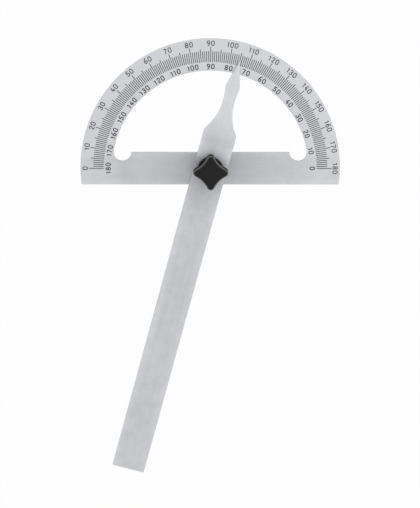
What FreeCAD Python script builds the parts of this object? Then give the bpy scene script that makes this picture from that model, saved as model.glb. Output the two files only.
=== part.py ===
# Bevel protractor: a half-round degree arc with a swinging blade and a star grip that clamps it.
#
# Frame of the part, in millimetres: the pivot axis is Z, the tool lies flat on its back at Z = 0,
# +Y points to the 90 degree mark of the arc and +X to its 180 degree end on the outer scale.
# Each piece is a solid of its own, written to parts/NAME.step.
import FreeCAD
import Part
import math
import os

V = FreeCAD.Vector

# ---- plates ----
plate_thickness = 1.2          # frame plate
blade_thickness = 1.2          # blade plate
edge_break = 0.12              # small chamfer that takes the burr off every plate edge

# ---- arc frame ----
arc_outer_r = 60.0             # 120 mm wide arc
arc_inner_r = 45.35            # edge of the half-moon window
bar_half_width = 7.55          # the bar lies evenly about the zero line
relief_r = 4.05                # round relief at each end of the window
frame_corner_r = 0.6           # ends of the reference edge

# ---- blade ----
blade_half_width = 7.65
blade_reach = 149.5            # from the pivot to the square end
shoulder_at = 17.4             # distances along the blade from the pivot towards the point
waist_at = 31.8
spear_at = 39.0
point_at = 51.5
waist_half_width = 2.68
spear_half_width = 3.33
point_half_width = 0.08
blade_corner_r = 0.3
rest_reading = 105.0           # reading on the outer scale at rest, in degrees

# ---- clamp stud (a press-in stud with its head flush in the back of the frame) ----
stud_d = 5.0
stud_head_d = 7.2
stud_head_height = 0.6
stud_above_washer = 6.5        # length of shank that reaches into the grip
stud_tip_chamfer = 0.5

# ---- washer ----
washer_d = 10.0
washer_thickness = 1.0
washer_edge_break = 0.15

# ---- star grip ----
grip_lobes = 4
grip_tip_r = 8.0               # axis to lobe tip
grip_valley_r = 5.5            # axis to the bottom of the hollow between two lobes
lobe_round_r = 1.8             # plan radius of a lobe's tip
grip_total_height = 12.5
grip_star_height = 6.5         # the lobed part at the top of the grip
grip_top_round = 1.0
grip_under_round = 0.7
hub_d = 11.6                   # a little wider than the hollows, so it shows as a ledge in them
hub_into_star = 1.0            # how far the round hub runs up into the lobed part
hub_foot_chamfer = 0.4
hub_top_chamfer = 0.4

# ---- threaded insert moulded into the grip ----
insert_d = 7.0
insert_height = 8.5
insert_hole_depth = 7.5
insert_mouth_chamfer = 0.25

# ---- clearances, on the radius ----
blade_on_stud = 0.05           # running fit of the blade
washer_on_stud = 0.10
insert_on_stud = 0.05          # stands for the play of the thread

# ---- levels up the pivot axis ----
frame_top_z = plate_thickness
blade_top_z = frame_top_z + blade_thickness
washer_top_z = blade_top_z + washer_thickness
stud_top_z = washer_top_z + stud_above_washer
grip_top_z = washer_top_z + grip_total_height
star_bottom_z = grip_top_z - grip_star_height


def cylinder(radius, z_low, z_high):
    """Upright cylinder on the pivot axis between two levels."""
    return Part.makeCylinder(radius, z_high - z_low, V(0, 0, z_low), V(0, 0, 1))


def line(a, b):
    return Part.LineSegment(a, b).toShape()


def arc(a, middle, b):
    return Part.Arc(a, middle, b).toShape()


def arc_about(centre, a, b):
    """Arc from a to b round a centre, taking the short way."""
    radius = (a - centre).Length
    towards_middle = (a + b) * 0.5 - centre
    towards_middle.normalize()
    return arc(a, centre + towards_middle * radius, b)


def mirrored(point):
    return V(-point.x, point.y, point.z)


def plate(edges, z_low, thickness):
    """Flat plate from a closed run of edges drawn at Z = 0."""
    face = Part.Face(Part.Wire(edges))
    face.translate(V(0, 0, z_low))
    return face.extrude(V(0, 0, thickness))


def round_upright_corners(solid, places, radius):
    """Round the upright edges that stand at the given places in plan."""
    chosen = []
    for edge in solid.Edges:
        ends = [vertex.Point for vertex in edge.Vertexes]
        if len(ends) != 2 or abs(ends[0].z - ends[1].z) < 1e-6:
            continue
        for place in places:
            if math.hypot(ends[0].x - place.x, ends[0].y - place.y) < 1e-4:
                if math.hypot(ends[1].x - place.x, ends[1].y - place.y) < 1e-4:
                    chosen.append(edge)
    return solid.makeFillet(radius, chosen)


def break_rims(solid, levels, size):
    """Chamfer every edge that lies in one of the given levels."""
    chosen = []
    for edge in solid.Edges:
        box = edge.BoundBox
        for level in levels:
            if abs(box.ZMin - level) < 1e-6 and abs(box.ZMax - level) < 1e-6:
                chosen.append(edge)
    return solid.makeChamfer(size, chosen)


def arc_frame():
    """Half-round plate with its bar, half-moon window and the seat of the stud."""
    corner = V(math.sqrt(arc_outer_r ** 2 - bar_half_width ** 2), -bar_half_width, 0)
    top = V(0, arc_outer_r, 0)
    body = plate([arc(corner, top, mirrored(corner)), line(mirrored(corner), corner)], 0, plate_thickness)
    body = round_upright_corners(body, [corner, mirrored(corner)], frame_corner_r)

    # the window: each relief circle touches the window's arc from inside and is centred on the
    # upper edge of the bar
    to_relief = arc_inner_r - relief_r
    relief = V(math.sqrt(to_relief ** 2 - bar_half_width ** 2), bar_half_width, 0)
    bar_end = V(relief.x - relief_r, bar_half_width, 0)
    relief_foot = V(relief.x, bar_half_width - relief_r, 0)
    touch = relief * (arc_inner_r / to_relief)
    window_edges = [
        line(mirrored(bar_end), bar_end),
        arc(bar_end, relief_foot, touch),
        arc(touch, V(0, arc_inner_r, 0), mirrored(touch)),
        arc(mirrored(touch), mirrored(relief_foot), mirrored(bar_end)),
    ]
    body = body.cut(plate(window_edges, 0, plate_thickness))
    body = break_rims(body, [0, plate_thickness], edge_break)

    body = body.cut(cylinder(stud_d / 2, 0, plate_thickness))
    return body.cut(cylinder(stud_head_d / 2, 0, stud_head_height))


def blade():
    """Straight blade whose short end narrows to a waist and ends in a spear point."""
    end_corner = V(blade_half_width, -blade_reach, 0)
    shoulder = V(blade_half_width, shoulder_at, 0)
    waist = V(waist_half_width, waist_at, 0)
    spear = V(spear_half_width, spear_at, 0)
    point = V(point_half_width, point_at, 0)

    # the two flank arcs share a tangent at the waist, along the blade
    flank_edges = []
    for far in (shoulder, spear):
        widening = far.x - waist.x
        run = far.y - waist.y
        radius = (run ** 2 + widening ** 2) / (2 * widening)
        flank_edges.append(arc_about(V(waist.x + radius, waist.y, 0), waist, far))

    right_side = [line(end_corner, shoulder)] + flank_edges + [line(spear, point)]
    left_side = [edge.mirror(V(0, 0, 0), V(1, 0, 0)) for edge in right_side]
    ends = [line(mirrored(end_corner), end_corner), line(point, mirrored(point))]
    outline = Part.__sortEdges__(right_side + left_side + ends)

    body = plate(outline, frame_top_z, blade_thickness)
    body = round_upright_corners(body, [end_corner, mirrored(end_corner)], blade_corner_r)
    body = break_rims(body, [frame_top_z, blade_top_z], edge_break * 0.5)
    body = body.cut(cylinder(stud_d / 2 + blade_on_stud, frame_top_z, blade_top_z))
    body.rotate(V(0, 0, 0), V(0, 0, 1), 90.0 - rest_reading)
    return body


def clamp_stud():
    """Press-in stud: a low head flush in the back of the frame and a plain-drawn M5 shank."""
    head = cylinder(stud_head_d / 2, 0, stud_head_height)
    head = break_rims(head, [0], edge_break)
    shank = cylinder(stud_d / 2, 0, stud_top_z)
    shank = break_rims(shank, [stud_top_z], stud_tip_chamfer)
    return head.fuse(shank).removeSplitter()


def flat_washer():
    body = cylinder(washer_d / 2, blade_top_z, washer_top_z)
    body = break_rims(body, [blade_top_z, washer_top_z], washer_edge_break)
    return body.cut(cylinder(stud_d / 2 + washer_on_stud, blade_top_z, washer_top_z))


def star_outline():
    """Lobe tips joined by hollow arcs, every arc tangent to its neighbours."""
    step = 2 * math.pi / grip_lobes
    half_step = step / 2
    lobe_centre_r = grip_tip_r - lobe_round_r
    inner = grip_valley_r - lobe_round_r
    hollow_centre_r = (lobe_centre_r ** 2 - inner ** 2) / (2 * (lobe_centre_r * math.cos(half_step) - inner))
    hollow_r = hollow_centre_r - grip_valley_r

    def polar(radius, angle):
        return V(radius * math.cos(angle), radius * math.sin(angle), 0)

    def touch(lobe_angle, hollow_angle):
        lobe = polar(lobe_centre_r, lobe_angle)
        hollow = polar(hollow_centre_r, hollow_angle)
        return lobe + (hollow - lobe) * (lobe_round_r / (lobe_round_r + hollow_r))

    edges = []
    for number in range(grip_lobes):
        angle = number * step
        before = touch(angle, angle - half_step)
        after = touch(angle, angle + half_step)
        following = touch(angle + step, angle + half_step)
        edges.append(arc(before, polar(grip_tip_r, angle), after))
        edges.append(arc(after, polar(grip_valley_r, angle + half_step), following))
    return edges


def knob_grip():
    """Star grip: four soft lobes on a round hub, closed at the top."""
    star = plate(star_outline(), star_bottom_z, grip_star_height)
    top_rim = [edge for edge in star.Edges if edge.BoundBox.ZMin > grip_top_z - 1e-6]
    star = star.makeFillet(grip_top_round, top_rim)
    under_rim = [edge for edge in star.Edges if edge.BoundBox.ZMax < star_bottom_z + 1e-6]
    star = star.makeFillet(grip_under_round, under_rim)

    hub = cylinder(hub_d / 2, washer_top_z, star_bottom_z + hub_into_star)
    hub = break_rims(hub, [washer_top_z], hub_foot_chamfer)
    hub = break_rims(hub, [star_bottom_z + hub_into_star], hub_top_chamfer)
    grip = star.fuse(hub)
    return grip.cut(cylinder(insert_d / 2, washer_top_z, washer_top_z + insert_height))


def knob_insert():
    """Threaded bush in the grip, drawn plain, with a blind hole for the stud."""
    bush = cylinder(insert_d / 2, washer_top_z, washer_top_z + insert_height)
    hole_r = stud_d / 2 + insert_on_stud
    hole = cylinder(hole_r, washer_top_z, washer_top_z + insert_hole_depth)
    mouth = Part.makeCone(
        hole_r + insert_mouth_chamfer, hole_r, insert_mouth_chamfer, V(0, 0, washer_top_z), V(0, 0, 1)
    )
    return bush.cut(hole).cut(mouth)


pieces = {
    "arc_frame": arc_frame,
    "blade": blade,
    "clamp_stud": clamp_stud,
    "flat_washer": flat_washer,
    "knob_grip": knob_grip,
    "knob_insert": knob_insert,
}

os.makedirs("parts", exist_ok=True)
for name, make in pieces.items():
    shape = make()
    if not shape.isValid() or len(shape.Solids) != 1:
        raise RuntimeError(name + " is not one sound solid")
    shape.Solids[0].exportStep("parts/" + name + ".step")
    print(name, round(shape.Volume, 1), "mm3", shape.BoundBox)
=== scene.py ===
import math

import bmesh
import bpy
from mathutils import Matrix, Vector


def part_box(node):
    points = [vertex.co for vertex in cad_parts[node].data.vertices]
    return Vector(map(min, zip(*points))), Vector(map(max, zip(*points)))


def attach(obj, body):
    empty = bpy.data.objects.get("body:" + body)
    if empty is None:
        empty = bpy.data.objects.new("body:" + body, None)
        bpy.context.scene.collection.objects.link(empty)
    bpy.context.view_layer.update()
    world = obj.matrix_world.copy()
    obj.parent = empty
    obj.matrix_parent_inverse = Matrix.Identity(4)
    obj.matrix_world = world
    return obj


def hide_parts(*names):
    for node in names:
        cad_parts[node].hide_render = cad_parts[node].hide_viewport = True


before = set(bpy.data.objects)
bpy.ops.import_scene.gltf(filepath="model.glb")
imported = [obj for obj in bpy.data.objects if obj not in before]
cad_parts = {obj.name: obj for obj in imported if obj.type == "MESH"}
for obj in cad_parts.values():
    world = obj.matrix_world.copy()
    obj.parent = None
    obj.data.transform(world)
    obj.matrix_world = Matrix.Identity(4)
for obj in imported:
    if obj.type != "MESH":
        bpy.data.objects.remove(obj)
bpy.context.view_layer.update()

MM = 0.001


# ---- Arc frame -------------------------------------------------------------------------------
# A half-round plate of stainless sheet, blanked in one piece with its 15 mm bar and ground on
# both faces. The faces carry a fine grain along the bar and are then dulled, so that the scale
# reads without glare; the blanked walls are brighter at the top and torn below.

class Term:
    """One socket of a node tree. Arithmetic on it adds Math nodes to the same tree."""

    def __init__(self, socket):
        self.socket = socket

    def node(self, kind, settings=None, values=None, output=0):
        """Adds a node, sets it up, feeds its sockets and gives back one of its outputs."""
        tree = self.socket.id_data
        made = tree.nodes.new(kind)
        for name, value in (settings or {}).items():
            setattr(made, name, value)
        for name, value in (values or {}).items():
            if isinstance(value, Term):
                tree.links.new(value.socket, made.inputs[name])
            else:
                made.inputs[name].default_value = value
        return Term(made.outputs[output])

    def maths(self, operation, *values):
        return self.node("ShaderNodeMath", {"operation": operation}, dict(enumerate(values)))

    def __add__(self, other):
        return self.maths("ADD", self, other)

    def __sub__(self, other):
        return self.maths("SUBTRACT", self, other)

    def __rsub__(self, other):
        return self.maths("SUBTRACT", other, self)

    def __mul__(self, other):
        return self.maths("MULTIPLY", self, other)

    def __truediv__(self, other):
        return self.maths("DIVIDE", self, other)

    def __gt__(self, other):
        return self.maths("GREATER_THAN", self, other)

    def __lt__(self, other):
        return self.maths("LESS_THAN", self, other)

    __radd__ = __add__
    __rmul__ = __mul__

    def axis(self, number):
        return self.node("ShaderNodeSeparateXYZ", values={0: self}, output=number)

    def stretched(self, scale, turn=0.0):
        """The same place, turned about Z and scaled for a pattern."""
        turned = self.node("ShaderNodeMapping", values={"Vector": self, "Rotation": (0, 0, turn)})
        return turned.node("ShaderNodeMapping", values={"Vector": turned, "Scale": scale})

    def from_axis(self):
        """Distance of this place from the pivot axis."""
        return self.node("ShaderNodeVectorMath", {"operation": "LENGTH"}, {0: self.stretched((1, 1, 0))}, 1)

    def smooth(self, start, end):
        """A soft step: 0 up to start, 1 from end on."""
        values = {"Value": self, "From Min": start, "From Max": end}
        return self.node("ShaderNodeMapRange", {"interpolation_type": "SMOOTHSTEP"}, values)

    def seen(self):
        """1 for rays that the eye sees, straight or by way of metal or glass, and 0 for other light."""
        straight = self.node("ShaderNodeLightPath")
        rays = straight.socket.node.outputs
        return (straight + Term(rays["Is Glossy Ray"]) + Term(rays["Is Transmission Ray"])) > 0.5

    def noise(self, scale, detail, roughness):
        values = {"Vector": self, "Scale": scale, "Detail": detail, "Roughness": roughness}
        return self.node("ShaderNodeTexNoise", values=values)

    def blend(self, low, high):
        """Colour between low (where this is 0) and high (where it is 1)."""
        low = low if isinstance(low, Term) else (*low, 1.0)
        high = high if isinstance(high, Term) else (*high, 1.0)
        values = {0: self, 6: low, 7: high}
        return self.node("ShaderNodeMix", {"data_type": "RGBA"}, values, output=2)

    def bump(self, strength, distance):
        values = {"Strength": strength, "Distance": distance, "Height": self}
        return self.node("ShaderNodeBump", values=values)


def new_finish(name, **fixed):
    """A Principled finish with its fixed values set; gives it, its shader and the object place."""
    finish = bpy.data.materials.new(name)
    finish.use_nodes = True
    shader = finish.node_tree.nodes["Principled BSDF"]
    for socket, value in fixed.items():
        shader.inputs[socket.replace("_", " ")].default_value = value
    place = finish.node_tree.nodes.new("ShaderNodeTexCoord").outputs["Object"]
    return finish, shader, Term(place)


def feed(shader, **links):
    """Links each term to the socket of that name, with a space for each underscore."""
    for name, term in links.items():
        shader.id_data.links.new(term.socket, shader.inputs[name.replace("_", " ")])


def sheet_steel(name, node, grain_turn, shaded_tone, bright, brightness):
    """Sheet steel for one plate: grained faces and blanked walls, told apart by height in the plate.

    grain_turn lays the grain along the plate. brightness takes the object place and gives 0 where
    the face takes its full painted shade and 1 where it takes its full painted light.
    """
    low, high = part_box(node)
    finish, shader, place = new_finish(name, Metallic=1.0)

    fine_lines, broad_lines = (60, 3200, 60), (14, 420, 14)
    grain = place.stretched(fine_lines, grain_turn).noise(1.0, 3.0, 0.6)
    streak = place.stretched(broad_lines, grain_turn).noise(1.0, 2.0, 0.5)
    cloud = place.noise(38.0, 3.0, 0.55)
    stain = place.noise(210.0, 2.0, 0.6)
    tone = grain * 0.3 + streak * 0.16 + cloud * 0.24 + stain * 0.3
    contrast = 1.35
    # the face's colour is the grain's tone plus the painted light and shade from brightness
    face = ((tone - 0.5) * contrast + brightness(place)).blend(shaded_tone, bright)

    # walls: a bright burnished band under the upper edge, a darker torn band below it; the heights
    # are shares of the plate's thickness
    lower_edge, torn_up_to, upper_edge = 0.06, 0.58, 0.94
    height = (place.axis(2) - low[2]) / (high[2] - low[2])
    wall = (height > lower_edge) * (height < upper_edge)
    torn = height < torn_up_to
    torn_lines = (5200, 5200, 500)
    tear = place.stretched(torn_lines).noise(1.0, 2.0, 0.6)
    wall_tone = torn * (0.35 + tear * 0.5) + (1 - torn) * 0.9
    torn_steel, burnished_steel = (0.20, 0.205, 0.215), (0.56, 0.57, 0.59)
    colour = wall.blend(face, wall_tone.blend(torn_steel, burnished_steel))

    rough = 0.36 + grain * 0.06 + cloud * 0.08 + wall * torn * 0.1
    relief = grain * 0.6 + stain * 0.4 + wall * torn * tear * 2.0
    feed(shader, Base_Color=colour, Roughness=rough, Normal=relief.bump(0.25, 0.02 * MM))
    return finish


def frame_brightness(place):
    """Painted shade on the bar round the clamp, brighter at the bar's edges, and painted light out on the
    ring of the scale.
    """
    from_pivot = place.from_axis()
    # painted shade round the clamp, gone by 34 mm out
    bar = from_pivot.smooth(3.0 * MM, 34.0 * MM)
    # painted light out on the ring of the scale
    scale_ring = from_pivot.smooth(40.0 * MM, 50.0 * MM)
    up = place.axis(1)
    edges = up.maths("ABSOLUTE", up).smooth(3.5 * MM, 7.5 * MM)
    return bar * 0.54 + scale_ring * 0.30 + edges * 0.18


# the blade sweeps over the scale, so the face that carries the black fill lies a hair lower than the
# plate's solid, and the fill stands proud of it without reaching the blade
plate_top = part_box("arc_frame")[1][2]
face_drop = 0.02 * MM
weld_distance = 0.0005 * MM
scale_face = plate_top - face_drop
arc_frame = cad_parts["arc_frame"]
shell = bmesh.new()
shell.from_mesh(arc_frame.data)
shell.transform(arc_frame.matrix_world)
bmesh.ops.remove_doubles(shell, verts=shell.verts, dist=weld_distance)
for vertex in shell.verts:
    vertex.co.z = min(vertex.co.z, scale_face)
plate_mesh = bpy.data.meshes.new("scale_plate")
shell.to_mesh(plate_mesh)
shell.free()
plate_mesh.shade_flat()
# the darkest end of the steel faces, where their painted shade is strongest
shaded_steel = (0.43, 0.436, 0.452)
frame_bright = (0.635, 0.641, 0.664)
plate_mesh.materials.append(
    sheet_steel("frame_steel", "arc_frame", 0.0, shaded_steel, frame_bright, frame_brightness)
)
scale_plate = bpy.data.objects.new("scale_plate", plate_mesh)
bpy.context.scene.collection.objects.link(scale_plate)
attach(scale_plate, "frame")
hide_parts("arc_frame")


# ---- Degree lines ----------------------------------------------------------------------------
# 181 lines etched into the arc and filled with black, one a degree from 0 to 180. All start on
# one circle; every fifth is longer and every tenth longer again.

def black_fill(name):
    """Matt black paint rubbed into etched marks, worn a little thin in places."""
    finish, shader, place = new_finish(name, Metallic=0.0, Specular_IOR_Level=0.3)
    wear = place.noise(900.0, 3.0, 0.65)
    thin = place.noise(2600.0, 2.0, 0.5)
    full_black, worn_black = (0.006, 0.006, 0.007), (0.050, 0.051, 0.056)
    colour = (wear * 0.7 + thin * 0.3).blend(full_black, worn_black)
    feed(shader, Base_Color=colour, Roughness=0.45 + thin * 0.2, Normal=thin.bump(0.3, 0.01 * MM))
    return finish


def new_tree(name, inputs):
    """A geometry tree with named inputs; gives it, the inputs' identifiers and their sockets."""
    tree = bpy.data.node_groups.new(name, "GeometryNodeTree")
    identifiers = {}
    for label, kind, value in inputs:
        made = tree.interface.new_socket(label, in_out="INPUT", socket_type=kind)
        if value is not None:
            made.default_value = value
        identifiers[label] = made.identifier
    tree.interface.new_socket("Geometry", in_out="OUTPUT", socket_type="NodeSocketGeometry")
    entry = tree.nodes.new("NodeGroupInput")
    return tree, identifiers, {label: Term(entry.outputs[label]) for label in identifiers}


scale_black = black_fill("scale_black_fill")
mark_lift = 0.008 * MM  # half the height of a mark, which is centred on the scale's face
line_start_r = 49.2 * MM
line_length = 4.95 * MM
fifth_extra = 1.0 * MM
tenth_extra = 1.0 * MM
line_width = 0.33 * MM

line_tree, line_inputs, given = new_tree("degree_lines", (
    ("Marks", "NodeSocketInt", 181),
    ("Step", "NodeSocketFloat", math.radians(1)),
    ("Start radius", "NodeSocketFloat", line_start_r),
    ("Length", "NodeSocketFloat", line_length),
    ("Extra at five", "NodeSocketFloat", fifth_extra),
    ("Extra at ten", "NodeSocketFloat", tenth_extra),
    ("Width", "NodeSocketFloat", line_width),
    ("Lift", "NodeSocketFloat", mark_lift),
    ("Level", "NodeSocketFloat", scale_face),
    ("Finish", "NodeSocketMaterial", scale_black),
))
start = given["Marks"]
number = start.node("GeometryNodeInputIndex")
is_fifth = number.maths("COMPARE", number.maths("MODULO", number, 5.0), 0.0, 0.1)
is_tenth = number.maths("COMPARE", number.maths("MODULO", number, 10.0), 0.0, 0.1)
length = given["Length"] + is_fifth * given["Extra at five"] + is_tenth * given["Extra at ten"]
middle_r = given["Start radius"] + length * 0.5
angle = number * given["Step"]
place = start.node(
    "ShaderNodeCombineXYZ",
    values={
        0: middle_r * number.maths("COSINE", angle),
        1: middle_r * number.maths("SINE", angle),
        2: given["Level"],
    },
)
points = start.node("GeometryNodePoints", values={"Count": given["Marks"], "Position": place})
block = start.node("GeometryNodeMeshCube", values={"Size": (1.0, 1.0, 1.0)})
turn = start.node("ShaderNodeCombineXYZ", values={2: angle})
size = start.node(
    "ShaderNodeCombineXYZ", values={0: length, 1: given["Width"], 2: given["Lift"] * 2.0}
)
marks = points.node(
    "GeometryNodeInstanceOnPoints",
    values={"Points": points, "Instance": block, "Rotation": turn, "Scale": size},
)
solid = marks.node("GeometryNodeRealizeInstances", values={"Geometry": marks})
done = solid.node("GeometryNodeSetMaterial", values={"Geometry": solid, "Material": given["Finish"]})
leave = line_tree.nodes.new("NodeGroupOutput")
line_tree.links.new(done.socket, leave.inputs[0])


def grown(name, tree, identifiers, seed_mesh=None, **chosen):
    """Runs a geometry tree on a seed mesh and keeps the result as a plain mesh object."""
    seed = bpy.data.objects.new(name + "_seed", seed_mesh or bpy.data.meshes.new(name + "_seed"))
    bpy.context.scene.collection.objects.link(seed)
    modifier = seed.modifiers.new("grow", "NODES")
    modifier.node_group = tree
    for label, value in chosen.items():
        modifier[identifiers[label]] = value
    ready = seed.evaluated_get(bpy.context.evaluated_depsgraph_get())
    mesh = bpy.data.meshes.new_from_object(ready)
    mesh.name = name
    seed.modifiers.remove(modifier)
    bpy.data.objects.remove(seed)
    piece = bpy.data.objects.new(name, mesh)
    bpy.context.scene.collection.objects.link(piece)
    return piece


degree_lines = grown("degree_lines", line_tree, line_inputs)
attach(degree_lines, "frame")


# ---- Numerals --------------------------------------------------------------------------------
# Upright engraver's figures, 2.5 mm high, each drawn with one stroke of even width and round
# ends. The outer row counts 0 to 180 from the left, the inner row back from 180 to 0.

figure_height = 2.5 * MM
figure_width = 1.6 * MM
figure_pitch = 2.05 * MM
room_for_one = 0.76
outer_row_r = 57.8 * MM
inner_row_r = 47.2 * MM
outer_stroke = 0.38 * MM
inner_stroke = 0.43 * MM
# strokes that cross lie this much apart in height, so no faces coincide
stroke_step = 0.003 * MM


def bend(x, y, rx, ry, start, end, steps):
    """Points along part of an ellipse, angles in degrees."""
    return [
        (x + rx * math.cos(math.radians(start + (end - start) * k / steps)),
         y + ry * math.sin(math.radians(start + (end - start) * k / steps)))
        for k in range(steps + 1)
    ]


# each figure is a few strokes in a cell 1 wide and 2 high
figure_six = [bend(0.5, 0.55, 0.5, 0.55, 0, 360, 18), bend(1.25, 0.55, 1.25, 1.75, 180, 112, 7)]
figures = {
    "0": [bend(0.5, 1.5, 0.5, 0.5, 180, 0, 9) + bend(0.5, 0.5, 0.5, 0.5, 0, -180, 9) + [(0.0, 1.5)]],
    "1": [[(0.26, 1.6), (0.64, 2.0), (0.64, 0.0)]],
    "2": [bend(0.5, 1.5, 0.48, 0.5, 178, -32, 10) + [(0.0, 0.0), (1.0, 0.0)]],
    "3": [bend(0.48, 1.52, 0.46, 0.48, 150, -90, 10), bend(0.46, 0.52, 0.52, 0.52, 90, -150, 10)],
    "4": [[(0.62, 2.0), (0.0, 0.55), (1.04, 0.55)], [(0.76, 1.05), (0.76, 0.0)]],
    "5": [[(0.92, 2.0), (0.14, 2.0), (0.08, 1.08)], bend(0.44, 0.62, 0.54, 0.62, 132, -150, 12)],
    "6": figure_six,
    "7": [[(0.0, 2.0), (1.0, 2.0), (0.34, 0.0)]],
    "8": [bend(0.5, 1.5, 0.43, 0.5, 0, 360, 16), bend(0.5, 0.5, 0.5, 0.5, 0, 360, 16)],
    "9": [[(1.0 - x, 2.0 - y) for x, y in stroke] for stroke in figure_six],
}


def number_row(name, row_r, stroke, reading_at):
    """Centre lines of one row of numbers, as loose edges ready for the stroke tree."""
    sketch = bmesh.new()
    for degrees in range(0, 181, 10):
        direction = math.radians(180 - degrees)
        outward = Vector((math.cos(direction), math.sin(direction), 0))
        along = Vector((math.sin(direction), -math.cos(direction), 0))
        text = str(reading_at(degrees))
        reach_x = figure_width - stroke
        reach_y = (figure_height - stroke) / 2
        rooms = [figure_pitch * (room_for_one if figure == "1" else 1.0) for figure in text]
        for place_in_text, figure in enumerate(text):
            before = sum(rooms[:place_in_text]) - sum(rooms) / 2
            left = before + (rooms[place_in_text] - reach_x) / 2
            for order, path in enumerate(figures[figure]):
                closed = math.dist(path[0], path[-1]) < 1e-6
                level = scale_face + order * stroke_step
                corners = []
                for x, y in (path[:-1] if closed else path):
                    spot = outward * (row_r + (y - 1) * reach_y) + along * (left + x * reach_x)
                    corners.append(sketch.verts.new((spot.x, spot.y, level)))
                for one, two in zip(corners, corners[1:] + (corners[:1] if closed else [])):
                    sketch.edges.new((one, two))
    mesh = bpy.data.meshes.new(name + "_paths")
    sketch.to_mesh(mesh)
    sketch.free()
    return mesh


stroke_tree, stroke_inputs, given = new_tree("figure_strokes", (
    ("Paths", "NodeSocketGeometry", None),
    ("Stroke", "NodeSocketFloat", outer_stroke),
    ("Lift", "NodeSocketFloat", mark_lift),
    ("Step", "NodeSocketFloat", stroke_step),
    ("Finish", "NodeSocketMaterial", scale_black),
))
paths = given["Paths"]
line = paths.node("GeometryNodeMeshToCurve", values={"Mesh": paths})
flat_line = line.node("GeometryNodeSetCurveNormal", {"mode": "Z_UP"}, {"Curve": line})
soft_line = flat_line.node(
    "GeometryNodeFilletCurve",
    {"mode": "POLY"},
    {"Curve": flat_line, "Count": 4, "Radius": given["Stroke"] * 0.6, "Limit Radius": True},
)
section = paths.node(
    "GeometryNodeCurvePrimitiveQuadrilateral",
    values={"Width": given["Stroke"], "Height": given["Lift"] * 2.0},
)
ribbons = paths.node(
    "GeometryNodeCurveToMesh",
    values={"Curve": soft_line, "Profile Curve": section, "Fill Caps": True},
)
# a round end on every open stroke
ends = paths.node("GeometryNodeCurveEndpointSelection")
closed = paths.node("GeometryNodeInputSplineCyclic")
open_ends = paths.node(
    "FunctionNodeBooleanMath", {"operation": "NIMPLY"}, {0: ends, 1: closed}
)
dot = paths.node(
    "GeometryNodeMeshCylinder",
    values={
        "Vertices": 20,
        "Radius": given["Stroke"] * 0.5,
        "Depth": given["Lift"] * 2.0 + given["Step"],
    },
)
dots = paths.node(
    "GeometryNodeInstanceOnPoints", values={"Points": line, "Selection": open_ends, "Instance": dot}
)
joined = ribbons.node("GeometryNodeJoinGeometry")
for part in (ribbons, dots):
    stroke_tree.links.new(part.socket, joined.socket.node.inputs[0])
flat = joined.node("GeometryNodeSetShadeSmooth", values={"Geometry": joined, "Shade Smooth": False})
whole = joined.node("GeometryNodeRealizeInstances", values={"Geometry": flat})
done = whole.node("GeometryNodeSetMaterial", values={"Geometry": whole, "Material": given["Finish"]})
leave = stroke_tree.nodes.new("NodeGroupOutput")
stroke_tree.links.new(done.socket, leave.inputs[0])

for name, row_r, stroke, reading_at in (
    ("outer_numerals", outer_row_r, outer_stroke, lambda degrees: degrees),
    ("inner_numerals", inner_row_r, inner_stroke, lambda degrees: 180 - degrees),
):
    sketch_mesh = number_row(name, row_r, stroke, reading_at)
    row = grown(name, stroke_tree, stroke_inputs, sketch_mesh, Stroke=stroke)
    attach(row, "frame")


# ---- Blade -----------------------------------------------------------------------------------
# A straight strip of the same sheet with its short end cut to a spear point. Its grain runs
# along the strip, and it is a shade brighter than the frame.

blade_turn = math.radians(15)


def blade_brightness(place):
    """Painted shade round the clamp, brighter away from it, painted light on the pointer's side, and
    brighter along both edges.

    A short patch just past the grip is brighter still: painted light that makes up for the black
    grip, which the polished face mirrors there.
    """
    along = place.axis(1) * math.cos(blade_turn) + place.axis(0) * math.sin(blade_turn)
    across = place.axis(0) * math.cos(blade_turn) - place.axis(1) * math.sin(blade_turn)
    # painted shade round the clamp
    away = place.from_axis().smooth(3.0 * MM, 30.0 * MM)
    # painted light on the pointer's side
    pointer_side = along.smooth(-4.0 * MM, 8.0 * MM)
    # painted light where the face mirrors the black grip
    patch = along.smooth(2.0 * MM, 6.0 * MM) * (1 - along.smooth(8.0 * MM, 14.0 * MM))
    edges = across.maths("ABSOLUTE", across).smooth(3.5 * MM, 7.8 * MM)
    return away * 0.52 + (pointer_side * 0.27 + patch * 0.5) + edges * 0.14


blade_bright = (0.715, 0.722, 0.747)
blade_grain = blade_turn - math.pi / 2
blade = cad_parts["blade"]
blade.data.materials.clear()
blade.data.materials.append(
    sheet_steel("blade_steel", "blade", blade_grain, shaded_steel, blade_bright, blade_brightness)
)


# ---- Clamp stud ------------------------------------------------------------------------------
# A press-in steel stud: its low head sits flush in the back of the frame, and its M5 thread
# comes up through the blade and the washer into the grip.

def turned_metal(name, light, dark, haze):
    """Turned or plated metal with fine rings about the pivot axis."""
    finish, shader, place = new_finish(name, Metallic=1.0)
    ring_density = 9000.0
    turns = place.from_axis() * ring_density
    rings = turns.node("ShaderNodeTexNoise", {"noise_dimensions": "1D"}, {"W": turns})
    patch = place.noise(420.0, 3.0, 0.6)
    colour = (rings * 0.6 + patch * 0.4).blend(dark, light)
    feed(shader, Base_Color=colour, Roughness=haze + patch * 0.12, Normal=rings.bump(0.35, 0.01 * MM))
    return finish


stud_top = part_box("clamp_stud")[1][2]
head_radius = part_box("clamp_stud")[1][0]
thread_pitch = 0.8 * MM
shank_r = 2.5 * MM
thread_depth = 0.42 * MM
head_height = 0.6 * MM
thread_from = plate_top + 0.3 * MM
tip_bevel = 0.5 * MM
head_bevel = 0.12 * MM
around = 48
levels_per_turn = 14

stud_sketch = bmesh.new()
rings = []


def ring(height, radius_at):
    """One ring of corners of the stud, at a height and with a radius for every turn about the axis."""
    row = []
    for k in range(around):
        turn = 2 * math.pi * k / around
        radius = radius_at(turn)
        row.append(stud_sketch.verts.new((radius * math.cos(turn), radius * math.sin(turn), height)))
    rings.append(row)


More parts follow.
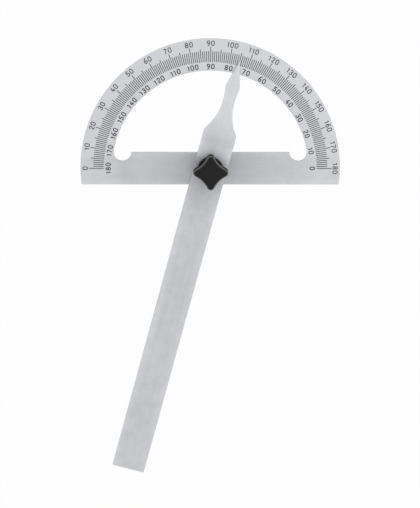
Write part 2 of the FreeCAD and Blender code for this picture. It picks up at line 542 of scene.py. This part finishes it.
def thread_radius(height):
    """Radius of the thread at one height: straight flanks with flat crests and roots."""
    flank_slope, crest_flat = 2.9, 0.28

    def at(turn):
        phase = ((height - thread_from) / thread_pitch - turn / (2 * math.pi)) % 1.0
        cut = min(max(abs(phase - 0.5) * flank_slope - crest_flat, 0.0), 1.0)
        run_in = min(max((height - thread_from) / thread_pitch, 0.0), 1.0)
        full = shank_r - thread_depth * cut * run_in
        return min(full, shank_r - max(height - (stud_top - tip_bevel), 0.0))

    return at


ring(0.0, lambda turn: head_radius - head_bevel)
ring(head_bevel, lambda turn: head_radius)
ring(head_height, lambda turn: head_radius)
ring(head_height, lambda turn: shank_r)
steps = int((stud_top - thread_from) / thread_pitch * levels_per_turn)
for k in range(steps + 1):
    level = thread_from + (stud_top - thread_from) * k / steps
    ring(level, thread_radius(level))
for lower, upper in zip(rings, rings[1:]):
    for k in range(around):
        after = (k + 1) % around
        stud_sketch.faces.new((lower[k], lower[after], upper[after], upper[k]))
stud_sketch.faces.new(reversed(rings[0]))
stud_sketch.faces.new(rings[-1])
stud_mesh = bpy.data.meshes.new("threaded_stud")
stud_sketch.to_mesh(stud_mesh)
stud_sketch.free()
threaded_stud = bpy.data.objects.new("threaded_stud", stud_mesh)
bpy.context.scene.collection.objects.link(threaded_stud)
stud_mesh.materials.append(turned_metal("stud_zinc", (0.66, 0.67, 0.69), (0.50, 0.51, 0.53), 0.24))
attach(threaded_stud, "frame")
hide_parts("clamp_stud")


# ---- Flat washer -----------------------------------------------------------------------------
# A plain zinc-plated washer between the grip and the blade, so that the grip does not mark it.

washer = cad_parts["flat_washer"]
washer.data.materials.clear()
washer.data.materials.append(turned_metal("washer_zinc", (0.68, 0.69, 0.71), (0.52, 0.53, 0.55), 0.28))


# ---- Star grip -------------------------------------------------------------------------------
# A four-lobed grip moulded in black plastic over a threaded brass bush. The mould was spark
# eroded, which leaves an even fine grain; the rim round the top is smoother and carries a
# painted grey highlight.

def moulded_black(name):
    """Black plastic with a spark-eroded grain and a sheen that is strongest on the top rim, where a grey
    highlight is painted.
    """
    finish, shader, place = new_finish(
        name, Metallic=0.0, Specular_IOR_Level=0.0, Coat_IOR=1.5, Coat_Roughness=0.34
    )
    spark = place.noise(5200.0, 3.0, 0.6)
    mottle = place.noise(700.0, 2.0, 0.5)
    touch = place.noise(160.0, 2.0, 0.5)
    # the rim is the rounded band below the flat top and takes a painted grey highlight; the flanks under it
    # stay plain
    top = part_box("knob_grip")[1][2]
    rim = place.axis(2).smooth(top - 1.2 * MM, top - 0.8 * MM)
    flat_top = place.axis(2).smooth(top - 0.22 * MM, top - 0.06 * MM)
    deep_black, soft_black, painted_rim_highlight = (0.002, 0.002, 0.0025), (0.009, 0.009, 0.010), (0.085, 0.085, 0.087)
    plain = (spark * 0.5 + mottle * 0.5).blend(deep_black, soft_black)
    # painted highlight: grey on the rim band, but not on the flat top
    colour = (rim * (1 - flat_top)).blend(plain, painted_rim_highlight)
    sheen = 0.1 + rim * 0.9 - flat_top * 0.55 + (touch - 0.5) * 0.15
    feed(
        shader, Base_Color=colour, Roughness=0.7 + spark * 0.1, Coat_Weight=sheen,
        Normal=spark.bump(0.35, 0.04 * MM),
    )
    return finish


grip_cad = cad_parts["knob_grip"]
grip_cad.data.materials.clear()
grip_cad.data.materials.append(moulded_black("grip_moulded_black"))

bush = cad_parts["knob_insert"]
bush.data.materials.clear()
bush.data.materials.append(turned_metal("bush_brass", (0.72, 0.55, 0.27), (0.58, 0.42, 0.19), 0.26))


# ---- Table, light and camera -----------------------------------------------------------------
# The tool lies on a white table under an even tent of light, with a soft key from the right.

def white_table(name):
    """White that stays white to the eye and in reflections, and still takes a faint shadow."""
    finish, shader, place = new_finish(name, Roughness=0.9, Base_Color=(0.9, 0.9, 0.9, 1.0))
    glow = place.node("ShaderNodeEmission", values={"Color": (1.0, 1.0, 1.0, 1.0), "Strength": 1.0})
    share = place.seen() * 0.96
    mixed = place.node("ShaderNodeMixShader", values={0: share, 1: Term(shader.outputs[0]), 2: glow})
    output = finish.node_tree.nodes["Material Output"]
    finish.node_tree.links.new(mixed.socket, output.inputs["Surface"])
    return finish


table_mesh = bpy.data.meshes.new("table")
reach = 6.0
under = -0.02 * MM
table_mesh.from_pydata(
    [(-reach, -reach, under), (reach, -reach, under), (reach, reach, under), (-reach, reach, under)],
    [], [(0, 1, 2, 3)],
)
table = bpy.data.objects.new("table", table_mesh)
bpy.context.scene.collection.objects.link(table)
table_mesh.materials.append(white_table("white_table"))

world = bpy.data.worlds.new("light_tent")
bpy.context.scene.world = world
world.use_nodes = True
tent = world.node_tree.nodes["Background"]
sky = Term(world.node_tree.nodes.new("ShaderNodeTexCoord").outputs["Generated"])
# white to the eye and in reflections, but for a dimmer round patch a little to the front of
# straight above, which the flat faces of the tool mirror to the eye
patch_centre = Vector((0.0, -0.215, 1.0)).normalized()
patch_rim, patch_core = math.radians(11), math.radians(4)
facing = sky.node("ShaderNodeVectorMath", {"operation": "DOT_PRODUCT"}, {0: sky, 1: patch_centre}, 1)
dimmed = facing.smooth(math.cos(patch_rim), math.cos(patch_core))
plain_light, seen_extra = 0.78, 0.22
strength = (1 - dimmed * 0.3) * (plain_light + sky.seen() * seen_extra)
world.node_tree.links.new(strength.socket, tent.inputs["Strength"])
tent.inputs["Color"].default_value = (1.0, 1.0, 1.0, 1.0)

key = bpy.data.lights.new("key", "AREA")
key.shape = "DISK"
key.size = 1.6
key.energy = 10.0
key_lamp = bpy.data.objects.new("key", key)
bpy.context.scene.collection.objects.link(key_lamp)
key_lamp.location = (1.36, 0.82, 2.52)
key_lamp.rotation_euler = (-key_lamp.location).to_track_quat("-Z", "Y").to_euler()

# a long lens high above the arc, tipped a little towards the blade's end
camera = bpy.data.cameras.new("camera")
camera.sensor_width = 36.0
camera.lens = 141.73
camera.clip_end = 50.0
eye = bpy.data.objects.new("camera", camera)
bpy.context.scene.collection.objects.link(eye)
eye.matrix_world = (
    Matrix.Translation((-0.01674, 0.14556, 0.9141 + plate_top))
    @ Matrix.Rotation(math.radians(-0.01), 4, "Z")
    @ Matrix.Rotation(math.radians(-11.5), 4, "X")
    @ Matrix.Rotation(math.radians(-1.03), 4, "Y")
)
bpy.context.scene.camera = eye
bpy.context.scene.view_settings.view_transform = "Standard"
